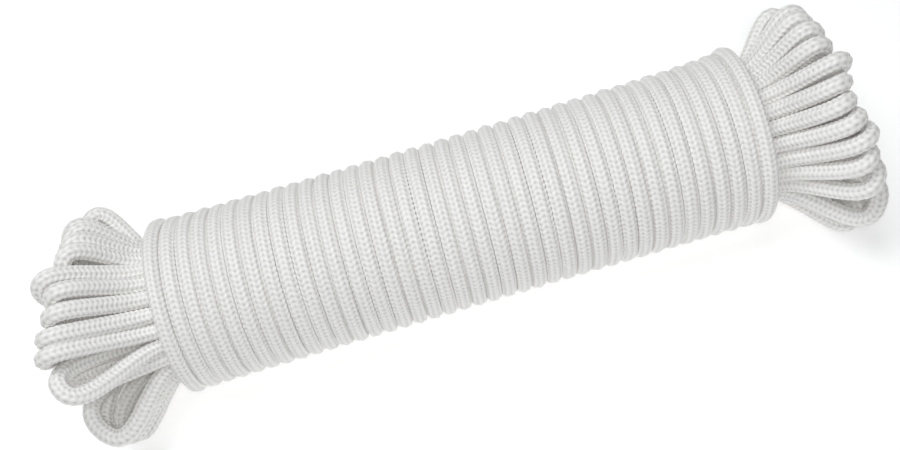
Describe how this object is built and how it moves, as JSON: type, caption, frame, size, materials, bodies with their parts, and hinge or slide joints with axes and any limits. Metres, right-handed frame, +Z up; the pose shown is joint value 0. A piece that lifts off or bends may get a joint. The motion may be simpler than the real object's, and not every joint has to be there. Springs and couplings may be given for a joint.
{
  "type": "coiled dock line",
  "caption": "Hank of white braided dock line: long rope loops bound round their middle by a close winding of the same rope, with the loops fanning out at both ends.",
  "frame": {"origin": "middle of the flat on which the middle turn of the winding rests", "axes": "+X along the hank, +Y across it, +Z up with the hank lying on its side"},
  "size_m": [0.3387, 0.1003, 0.0811],
  "materials": {
    "white_braid": "matte braided fibre",
    "melted_fibre": "melted hard with a hot knife"
  },
  "bodies": {
    "root": {"hank_loops": "white_braid", "lead_in": "white_braid", "wrap_first_turns": "white_braid", "wrap_middle_turns": "white_braid", "wrap_last_turns": "white_braid", "tucked_tail": "white_braid", "inner_sealed_end": "melted_fibre", "tail_sealed_end": "melted_fibre"}
  },
  "joints": []
}
